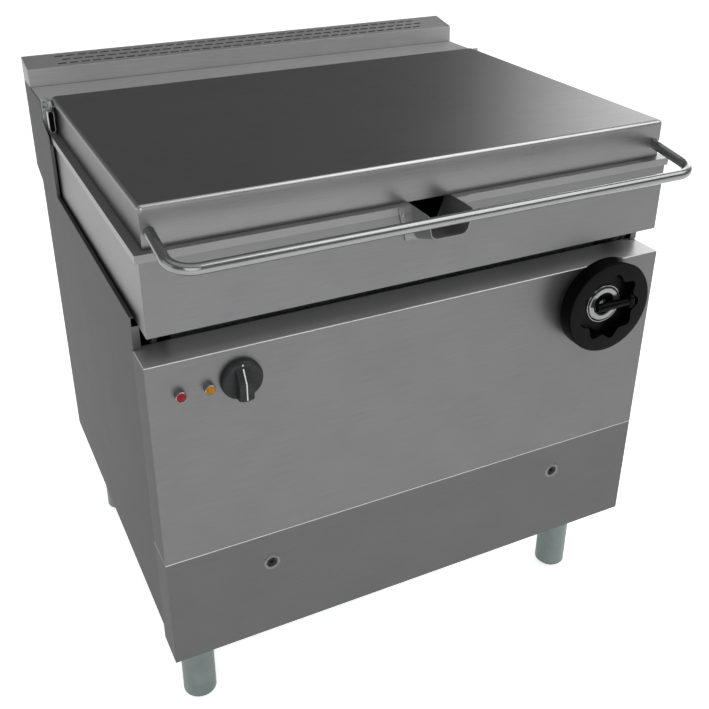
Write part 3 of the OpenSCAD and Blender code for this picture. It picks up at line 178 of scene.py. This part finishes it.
# What all the steels start from, with the scratches and the clouds of handling marks in millimetres
sheetLook = {"along": "X", "scratchWidth": 0.5, "scratchLength": 70, "cloud": 90, "dark": "#747475",
             "light": "#848485", "glossy": 0.34, "dull": 0.46, "bump": 0.2, "metallic": 0.8,
             "specular": 0.5, "edgeTint": "#ffffff"}
steels = {
    # Brushed stainless sheet of the pan's casing, grain across the unit
    "casingSheet": {"name": "brushed_sheet_casing", "dark": "#6d6d6e", "light": "#7c7c7d"},
    # Control panel and ledge: the same sheet, a little duller, with painted top light on the ledge and
    # a painted highlight on its top fold
    "panelAcross": {"name": "brushed_sheet_across", "metallic": 0.75, "dark": "#6c6c6d",
                    "light": "#7b7b7c", "top": "#c8c8c9", "worn": "#d6d6d6", "edgeTint": "#959595",
                    "specular": 0.3},
    # Lower panel, in its own shade, with painted top light and a painted highlight on its top fold
    "panelLower": {"name": "brushed_sheet_lower", "metallic": 0.6, "dark": "#5f5f60",
                   "light": "#6b6b6c", "top": "#b0b0b1", "worn": "#f0f0f0", "edgeTint": "#959595",
                   "specular": 0.3},
    # Rear column and flue, satin and paler
    "columnSheet": {"name": "satin_sheet", "metallic": 0.35, "dark": "#9a9a9b", "light": "#aaaaab",
                    "specular": 0.3},
    # Slotted grille in the flue's outlet, a darker sheet than the flue around it, which paints shade on
    # the walls of its slots
    "grilleSheet": {"name": "grille_sheet", "metallic": 0.35, "dark": "#7f7f80", "light": "#8b8b8c",
                    "specular": 0.3},
    # Side panels, the grain running front to back
    "panelDeep": {"name": "brushed_sheet_deep", "along": "Y", "metallic": 0.75, "dark": "#5f5f60",
                  "light": "#6b6b6c", "specular": 0.05, "edgeTint": "#adadad"},
    # Polished lid, smoother and with wider clouds, its top faces painted to an even tone by how they
    # face, and painted highlights on its rolled edges
    "lidSheet": {"name": "brushed_lid", "glossy": 0.26, "dull": 0.36, "cloud": 140, "metallic": 0.95,
                 "edgeTint": "#d2d2d2", "top": "#7c7c7d", "worn": "#a6a6a7"},
    # Ground and pickled cooking vessel
    "vessel": {"name": "ground_vessel", "metallic": 0.55, "glossy": 0.3, "dull": 0.42,
               "dark": "#7c7c7d", "light": "#8e8e8f"},
    # Polished tube of the lid bar
    "bar": {"name": "polished_tube", "scratchWidth": 0.2, "scratchLength": 8, "glossy": 0.17,
            "dull": 0.27, "dark": "#828383", "light": "#969797", "metallic": 0.95},
    # Zinc-coated sheet with its large crystals
    "zinc": {"name": "zinc_sheet", "scratchWidth": 9, "scratchLength": 9, "cloud": 25,
             "glossy": 0.38, "dull": 0.55, "dark": "#7f8786", "light": "#a9b1af", "bump": 0.1},
    # Turned and milled steel of the gear train
    "machined": {"name": "machined_steel", "scratchWidth": 0.15, "scratchLength": 3,
                 "glossy": 0.2, "dull": 0.35},
    # Bronze bushes and worm wheel
    "bronze": {"name": "turned_bronze", "scratchWidth": 0.15, "scratchLength": 3,
               "dark": "#8a6a33", "light": "#b08a4a"},
    # Chromium plate on the small trim
    "chrome": {"name": "chrome_plate", "scratchWidth": 0.3, "scratchLength": 2, "bump": 0.02,
               "glossy": 0.12, "dull": 0.22, "dark": "#7e7f7f", "light": "#969797"},
    # Heat-tinted sheath of the heating elements
    "element": {"name": "tinted_sheath", "scratchWidth": 1, "scratchLength": 12,
                "dark": "#3b342e", "light": "#66594b", "glossy": 0.35, "dull": 0.5},
}
# What plastics, paints and fibre start from. Their grain and clouds are in millimetres
skinLook = {"metallic": 0.0, "specular": 0.5}
skins = {
    # Satin grey paint on the legs
    "legPaint": {"name": "leg_paint", "grain": 0.6, "cloud": 30, "dark": "#6e7b79", "light": "#7c8987",
                 "glossy": 0.38, "dull": 0.5, "bump": 0.12, "metallic": 0.35},
    # Primed structural steel
    "primer": {"name": "primed_steel", "grain": 0.8, "cloud": 40, "dark": "#4b4d4d",
               "light": "#626464", "glossy": 0.45, "dull": 0.65, "bump": 0.2},
    # Black moulded plastic of the handwheel and grip
    "blackPlastic": {"name": "black_moulding", "grain": 0.25, "cloud": 18, "dark": "#030303",
                     "light": "#070707", "glossy": 0.3, "dull": 0.42, "bump": 0.1, "specular": 0.06},
    # Dark grey moulded knob
    "greyPlastic": {"name": "grey_moulding", "grain": 0.25, "cloud": 14, "dark": "#2a2b2c",
                    "light": "#363738", "glossy": 0.3, "dull": 0.42, "bump": 0.1, "specular": 0.14},
    # White printed marks and pale mouldings
    "whitePrint": {"name": "white_print", "grain": 0.2, "cloud": 6, "dark": "#dcdcd6",
                   "light": "#f0f0ec", "glossy": 0.4, "dull": 0.5, "bump": 0.05},
    # Moulded lenses of the pilot lights
    "redLens": {"name": "red_lens", "grain": 0.8, "cloud": 4, "dark": "#7d0c1c", "light": "#a51c2c",
                "glossy": 0.1, "dull": 0.18, "bump": 0.05, "specular": 0.15},
    "amberLens": {"name": "amber_lens", "grain": 0.8, "cloud": 4, "dark": "#946405",
                  "light": "#bd860e", "glossy": 0.1, "dull": 0.18, "bump": 0.05, "specular": 0.15},
    # Blackened socket screws
    "blackened": {"name": "blackened_screw", "grain": 0.3, "cloud": 5, "dark": "#070707",
                  "light": "#111111", "glossy": 0.35, "dull": 0.5, "bump": 0.1, "specular": 0.2},
    # Near-black sheet under the flue's slots, painted shade that makes the slots look dark
    "flueShade": {"name": "sooted_sheet", "grain": 0.9, "cloud": 35, "dark": "#0c0c0c", "light": "#191817",
             "glossy": 0.7, "dull": 0.9, "bump": 0.2, "specular": 0.1},
    # Rubber rest pads
    "rubber": {"name": "black_rubber", "grain": 0.5, "cloud": 9, "dark": "#121212",
               "light": "#1f1f1f", "glossy": 0.6, "dull": 0.8, "bump": 0.3},
    # Pressed mineral fibre
    "fibre": {"name": "mineral_fibre", "grain": 1.5, "cloud": 12, "dark": "#b9af95",
              "light": "#ded6bf", "glossy": 0.85, "dull": 0.95, "bump": 0.8},
}
materials = {finish: brushedSteel({**sheetLook, **look}) for finish, look in steels.items()}
materials.update({finish: mouldedSkin({**skinLook, **look}) for finish, look in skins.items()})
print("materials made:", len(materials))

finishes = {
    "casingSheet": ["pan_casing", "cup_washers"],
    "panelAcross": ["control_panel"],
    "panelLower": ["lower_panel"],
    "columnSheet": ["rear_column", "flue_cover"],
    "grilleSheet": ["flue_grille"],
    "panelDeep": ["side_panel_left", "side_panel_right"],
    "lidSheet": ["lid_skin"],
    "vessel": ["pan_vessel", "pouring_lip", "lid_liner", "lip_rivets"],
    "bar": ["lid_handle", "lid_shaft"],
    "zinc": ["back_panel", "base_tray", "panel_rail", "support_beam", "element_tray", "lid_brackets"],
    "machined": ["handwheel_shaft", "input_gear", "worm", "worm_gear", "pinion", "pinion_shaft",
                 "gear_quadrant", "pivot_pins"],
    "bronze": ["worm_wheel", "shaft_bushes", "pivot_bushes"],
    "chrome": ["light_bezels", "hub_ring", "crank_pin"],
    "element": ["heating_elements"],
    "legPaint": ["leg_collars", "foot_front_left", "foot_front_right", "foot_rear_left",
                 "foot_rear_right"],
    "primer": ["pivot_bracket_left", "drive_frame", "pivot_lug_left", "pan_base_plate"],
    "blackened": ["panel_screws"],
    "blackPlastic": ["handwheel", "crank_grip", "crank_knuckle", "contactor", "cable_gland"],
    "greyPlastic": ["control_knob"],
    "whitePrint": ["knob_pointer", "terminal_block", "thermostat"],
    "redLens": ["lens_red"],
    "amberLens": ["lens_amber"],
    "rubber": ["pan_rest_pads"],
    "fibre": ["insulation"],
}
for finish, names in finishes.items():
    for name in names:
        solid = nodes[name]
        solid.data.materials.clear()
        solid.data.materials.append(materials[finish])


# Joins the faces of a carried-over solid along its edges, and shades each edge by its angle
def joinAndShade(sharpFrom, reach):
    tree = bpy.data.node_groups.new("join and shade", "GeometryNodeTree")
    for direction in ("INPUT", "OUTPUT"):
        tree.interface.new_socket("Geometry", in_out=direction, socket_type="NodeSocketGeometry")
    start = addNode(tree, "NodeGroupInput").outputs["Geometry"]
    joined = addNode(tree, "GeometryNodeMergeByDistance", {"Distance": reach * mm}, {"Geometry": start})
    bare = addNode(tree, "GeometryNodeRemoveAttribute", {"Name": "custom_normal"},
                   {"Geometry": joined.outputs["Geometry"]})
    smooth = addNode(tree, "GeometryNodeSetShadeSmooth", {"Shade Smooth": True},
                     {"Geometry": bare.outputs["Geometry"]}, domain="FACE")
    angle = addNode(tree, "GeometryNodeInputMeshEdgeAngle").outputs["Unsigned Angle"]
    gentle = addNode(tree, "ShaderNodeMath", {1: math.radians(sharpFrom)}, {0: angle},
                     operation="LESS_THAN")
    shaded = addNode(tree, "GeometryNodeSetShadeSmooth", domain="EDGE",
                     links={"Geometry": smooth.outputs["Geometry"],
                            "Shade Smooth": gentle.outputs["Value"]})
    addNode(tree, "NodeGroupOutput", links={"Geometry": shaded.outputs["Geometry"]})
    return tree


# Radii in millimetres and angles in degrees. Top folds of the front sheets are rounder than a cut
# edge and show as bright lines, helped by a painted highlight in their material, and the other sheets
# and mouldings have softened edges
edging = {
    "sharpFrom": 32, "reach": 0.01, "bevelFrom": 35, "near": 0.2, "flatness": 100,
    "topFolds": {"control_panel": 2.3, "lower_panel": 1.8},
    "topSegments": 5,
    "edges": {"lid_skin": 0.8, "side_panel_left": 0.8, "side_panel_right": 0.8, "rear_column": 0.8,
              "flue_cover": 0.8, "pan_casing": 0.8, "pan_vessel": 0.8, "pouring_lip": 0.5,
              "handwheel": 1.4, "control_knob": 0.8, "lid_brackets": 0.6, "drive_frame": 0.6},
    "edgeSegments": 3,
    "softSegments": 2,
}
joinTree = joinAndShade(edging["sharpFrom"], edging["reach"])


def addJoin(solid, word):
    solid.modifiers.new(word, "NODES").node_group = joinTree


# Corners of a sheet's top edge, along its front and both sides
def topEdge(sheet, near):
    points = sheet.data.vertices
    frontY, topZ = min(v.co.y for v in points), max(v.co.z for v in points)
    sideX = max(v.co.x for v in points)
    return [v.index for v in points if abs(v.co.z - topZ) < near
            and (abs(v.co.y - frontY) < near or abs(abs(v.co.x) - sideX) < near)]


def roundTopFold(sheet, radius):
    addJoin(sheet, "joined faces")
    folded = sheet.vertex_groups.new(name="top fold")
    folded.add(topEdge(sheet, edging["near"] * mm), 1.0, "REPLACE")
    bevel = sheet.modifiers.new("top fold", "BEVEL")
    bevel.width = radius * mm
    bevel.segments = edging["topSegments"]
    bevel.limit_method = "VGROUP"
    bevel.vertex_group = folded.name


def softenEdges(solid, radius):
    addJoin(solid, "joined faces")
    bevel = solid.modifiers.new("folded edges", "BEVEL")
    bevel.width = radius * mm
    bevel.segments = edging["edgeSegments"]
    bevel.limit_method = "ANGLE"
    bevel.angle_limit = math.radians(edging["bevelFrom"])
    bevel.use_clamp_overlap = True


# Broad faces stay flat up to their folds
def shadeFlat(solid):
    addJoin(solid, "shaded edges")
    flats = solid.modifiers.new("flat faces", "WEIGHTED_NORMAL")
    flats.mode = "FACE_AREA"
    flats.weight = edging["flatness"]
    flats.keep_sharp = True


for name, radius in edging["topFolds"].items():
    roundTopFold(nodes[name], radius)
for name, radius in edging["edges"].items():
    softenEdges(nodes[name], radius)
for name in [*edging["topFolds"], *edging["edges"]]:
    shadeFlat(nodes[name])
print("CAD solids finished:", sum(len(names) for names in finishes.values()))


# Outline of a flat bar with round ends, standing in the XZ plane
def roundEnded(width, height, steps=10):
    radius, straight = width / 2, height / 2 - width / 2
    points = []
    for step in range(2 * steps + 2):
        turn = math.pi * (step - (step > steps)) / steps
        lift = straight if step <= steps else -straight
        points.append((radius * math.cos(turn), lift + radius * math.sin(turn)))
    return points


# Joins closed loops of equal length into a skin, capped at both ends or run round into itself
def skinLoops(loops, capped):
    count = len(loops[0])
    verts = [point for loop in loops for point in loop]
    rows = len(loops) - 1 if capped else len(loops)
    faces = []
    for row in range(rows):
        here, there = row * count, (row + 1) % len(loops) * count
        faces += [(here + k, here + (k + 1) % count, there + (k + 1) % count, there + k)
                  for k in range(count)]
    if capped:
        last = (len(loops) - 1) * count
        faces += [tuple(reversed(range(count))), tuple(range(last, last + count))]
    return verts, faces


def makePiece(name, loops, capped, look):
    mesh = bpy.data.meshes.new(name)
    verts, faces = skinLoops(loops, capped)
    mesh.from_pydata(verts, [], faces)
    skin = bmesh.new()
    skin.from_mesh(mesh)
    bmesh.ops.recalc_face_normals(skin, faces=skin.faces)
    skin.to_mesh(mesh)
    skin.free()
    mesh.polygons.foreach_set("use_smooth", [True] * len(mesh.polygons))
    mesh.set_sharp_from_angle(angle=math.radians(edging["bevelFrom"]))
    mesh.materials.append(materials[look["finish"]])
    piece = bpy.data.objects.new(name, mesh)
    bpy.context.collection.objects.link(piece)
    bevel = piece.modifiers.new("soft edges", "BEVEL")
    bevel.width = look["softness"] * mm
    bevel.segments = edging["softSegments"]
    bevel.limit_method = "ANGLE"
    bevel.angle_limit = math.radians(edging["bevelFrom"])
    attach(piece, look["body"])


# Bent strap round a rubber core at each end of the lid's hinge, against the front edge of its
# bracket, in millimetres. The strap laps over the bracket, and the core is pressed into the strap
hingeShackle = {
    "width": 11, "height": 39, "depth": 13, "wall": 1.6, "middle": 441.3, "under": 13, "lap": 0.5,
    "strap": {"finish": "chrome", "slot": "chrome_trim", "body": "pan", "softness": 0.5},
    "core": {"finish": "blackPlastic", "slot": "black_plastic", "body": "pan", "softness": 1.2,
             "setBack": 2.5, "endGap": 0.5, "press": 0.1},
}


# A loop of the shackle at depth y, round a middle point in X and Z
def shackleLoop(middle, size, y):
    return [(middle[0] + x * mm, y, middle[1] + z * mm) for x, z in roundEnded(*size)]


def makeShackles(look):
    low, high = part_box("lid_brackets")
    strap, core = look["strap"], look["core"]
    backY = low[1] + look["lap"] * mm
    frontY = backY - look["depth"] * mm
    midZ = high[2] - (look["under"] + look["height"] / 2) * mm
    outer = look["width"], look["height"]
    inner = look["width"] - 2 * look["wall"], look["height"] - 2 * look["wall"]
    tight = inner[0] + core["press"], inner[1] + core["press"]
    coreFront, coreBack = frontY + core["setBack"] * mm, backY - core["endGap"] * mm
    for side, word in ((-1, "left"), (1, "right")):
        middle = side * look["middle"] * mm, midZ
        strapLoops = [shackleLoop(middle, outer, frontY), shackleLoop(middle, outer, backY),
                      shackleLoop(middle, inner, backY), shackleLoop(middle, inner, frontY)]
        coreLoops = [shackleLoop(middle, tight, coreFront), shackleLoop(middle, tight, coreBack)]
        makePiece("hinge_shackle_" + word, strapLoops, False, strap)
        makePiece("hinge_core_" + word, coreLoops, True, core)


makeShackles(hingeShackle)

# Near-black tray under the flue's slots, parallel to the grille, in millimetres. It is painted shade,
# put where the flue's inside is only in shade, so the slots look dark
flueBaffle = {"inset": 14, "margin": 4, "below": 5, "fold": 9, "gauge": 1.2,
              "sheet": {"finish": "flueShade", "slot": "frame_steel", "body": "cabinet", "softness": 0.3}}


def makeBaffle(look):
    low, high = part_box("flue_grille")
    slope = (high[2] - low[2]) / (high[1] - low[1])
    leftX, rightX = low[0] + look["inset"] * mm, high[0] - look["inset"] * mm
    frontY, rearY = low[1] + look["margin"] * mm, high[1] - look["margin"] * mm
    drop, gauge, fold = look["below"] * mm, look["gauge"] * mm, look["fold"] * mm

    def ring(inside, deeper):
        corners = [(leftX + inside, frontY + inside), (rightX - inside, frontY + inside),
                   (rightX - inside, rearY - inside), (leftX + inside, rearY - inside)]
        return [(x, y, low[2] + slope * (y - low[1]) - drop - deeper) for x, y in corners]

    loops = [ring(gauge, fold), ring(0, fold), ring(0, 0), ring(gauge, 0), ring(gauge, gauge),
             ring(2 * gauge, gauge)]
    makePiece("flue_baffle", loops, True, look["sheet"])


makeBaffle(flueBaffle)

# Pale painted studio floor, matt. Its half width is in metres and its clouds in millimetres
floorLook = {"half": 30.0, "cloud": 900, "dark": "#f3f3f3", "light": "#f7f7f7", "roughness": 0.95,
             "glow": 0.7}


# The floor takes a soft shadow, and what sees it straight, in metal or through glass sees it bright
def studioFloor(look):
    material, tree, shader, coordinates = startMaterial("studio_floor")
    clouds = noiseField(tree, coordinates["Object"], [look["cloud"]] * 3, detail=2.0)
    colour = addNode(tree, "ShaderNodeMix", shades(look["dark"], look["light"]), {0: clouds},
                     data_type="RGBA")
    tree.links.new(colour.outputs[2], shader.inputs["Base Color"])
    shader.inputs["Roughness"].default_value = look["roughness"]
    shader.inputs["Emission Color"].default_value = linear("#ffffff")
    path = addNode(tree, "ShaderNodeLightPath").outputs
    seen = addNode(tree, "ShaderNodeMath", operation="MAXIMUM",
                   links={0: path["Is Camera Ray"], 1: path["Is Glossy Ray"]})
    seen = addNode(tree, "ShaderNodeMath", operation="MAXIMUM",
                   links={0: seen.outputs["Value"], 1: path["Is Transmission Ray"]})
    glow = addNode(tree, "ShaderNodeMapRange", span(0.0, 1.0, 0.0, look["glow"]),
                   {"Value": seen.outputs["Value"]})
    tree.links.new(glow.outputs["Result"], shader.inputs["Emission Strength"])
    return material


def makeStage(look):
    mesh = bpy.data.meshes.new("floor")
    half = look["half"]
    mesh.from_pydata([(-half, -half, 0), (half, -half, 0), (half, half, 0), (-half, half, 0)], [],
                     [(0, 1, 2, 3)])
    floor = bpy.data.objects.new("floor", mesh)
    bpy.context.collection.objects.link(floor)
    floor.data.materials.append(studioFloor(look))


def addLight(name, look):
    light = bpy.data.lights.new(name, "AREA")
    light.shape = "RECTANGLE"
    light.size, light.size_y = look["size"]
    light.energy = look["power"]
    lamp = bpy.data.objects.new(name, light)
    bpy.context.collection.objects.link(lamp)
    lamp.location = look["place"]
    towards = Vector(look["aim"]) - Vector(look["place"])
    lamp.rotation_euler = towards.to_track_quat("-Z", "Y").to_euler()


# The lamps, a dim room, a lit ceiling, and a soft box behind the unit and to its right.
# Places and sizes in metres, power in watts and angles in degrees
lighting = {
    "lamps": {
        "key_light": {"place": (1.6, -1.2, 3.2), "aim": (0, 0, 0.5), "size": (2.4, 2.4), "power": 44},
        "front_fill": {"place": (-1.2, -3.5, 2.2), "aim": (0, 0, 0.5), "size": (2.5, 2.5), "power": 36},
        "side_fill": {"place": (-3.6, 0.2, 1.8), "aim": (0, 0, 0.5), "size": (2.5, 2.5), "power": 14},
    },
    "softBox": {"azimuth": 55, "height": 17, "edge": 21, "core": 6, "strength": 4.2},
    "room": {"low": 0.75, "high": 0.2, "fade": 0.16},
    "ceiling": {"from": 50, "full": 66, "strength": 0.6},
}


def makeWorld(look):
    box, room, ceiling = look["softBox"], look["room"], look["ceiling"]
    world = bpy.data.worlds.new("studio")
    world.use_nodes = True
    bpy.context.scene.world = world
    tree = world.node_tree
    tree.nodes.clear()
    direction = addNode(tree, "ShaderNodeTexCoord").outputs["Generated"]
    turn, lift = math.radians(box["azimuth"]), math.radians(box["height"])
    towards = (math.sin(turn) * math.cos(lift), math.cos(turn) * math.cos(lift), math.sin(lift))
    facing = addNode(tree, "ShaderNodeVectorMath", {1: towards}, {0: direction},
                     operation="DOT_PRODUCT")
    height = addNode(tree, "ShaderNodeSeparateXYZ", links={"Vector": direction}).outputs["Z"]
    boxSpan = span(math.cos(math.radians(box["edge"])), math.cos(math.radians(box["core"])),
                   0.0, box["strength"])
    roomSpan = span(0.0, room["fade"], room["low"], room["high"])
    ceilingSpan = span(math.sin(math.radians(ceiling["from"])),
                       math.sin(math.radians(ceiling["full"])), 0.0, ceiling["strength"])
    boxGlow = addNode(tree, "ShaderNodeMapRange", boxSpan, {"Value": facing.outputs["Value"]})
    roomGlow = addNode(tree, "ShaderNodeMapRange", roomSpan, {"Value": height})
    ceilingGlow = addNode(tree, "ShaderNodeMapRange", ceilingSpan, {"Value": height})
    total = addNode(tree, "ShaderNodeMath", operation="ADD",
                    links={0: boxGlow.outputs["Result"], 1: roomGlow.outputs["Result"]})
    total = addNode(tree, "ShaderNodeMath", operation="ADD",
                    links={0: total.outputs["Value"], 1: ceilingGlow.outputs["Result"]})
    sky = addNode(tree, "ShaderNodeBackground", {"Color": linear("#ffffff")},
                  {"Strength": total.outputs["Value"]})
    addNode(tree, "ShaderNodeOutputWorld", links={"Surface": sky.outputs["Background"]})


def makeLights(look):
    for name, lamp in look["lamps"].items():
        addLight(name, lamp)
    makeWorld(look)


# The photograph's viewpoint, recovered from the unit's straight edges: metres, degrees, and
# millimetres for the lens
photoView = {"place": (-0.6905, -1.4656, 1.4381), "pitch": 62.854, "turn": -25.780, "lens": 48.97,
             "sensor": 36, "shift": (0.0128, -0.0813), "farEnd": 200}


def makeCamera(look):
    data = bpy.data.cameras.new("photo_view")
    data.lens = look["lens"]
    data.sensor_width = look["sensor"]
    data.shift_x, data.shift_y = look["shift"]
    data.clip_end = look["farEnd"]
    camera = bpy.data.objects.new("photo_view", data)
    bpy.context.collection.objects.link(camera)
    camera.location = look["place"]
    camera.rotation_euler = (math.radians(look["pitch"]), 0, math.radians(look["turn"]))
    bpy.context.scene.camera = camera


makeStage(floorLook)
makeLights(lighting)
makeCamera(photoView)
bpy.context.scene.view_settings.view_transform = "Standard"
print("stage, lights and camera set")
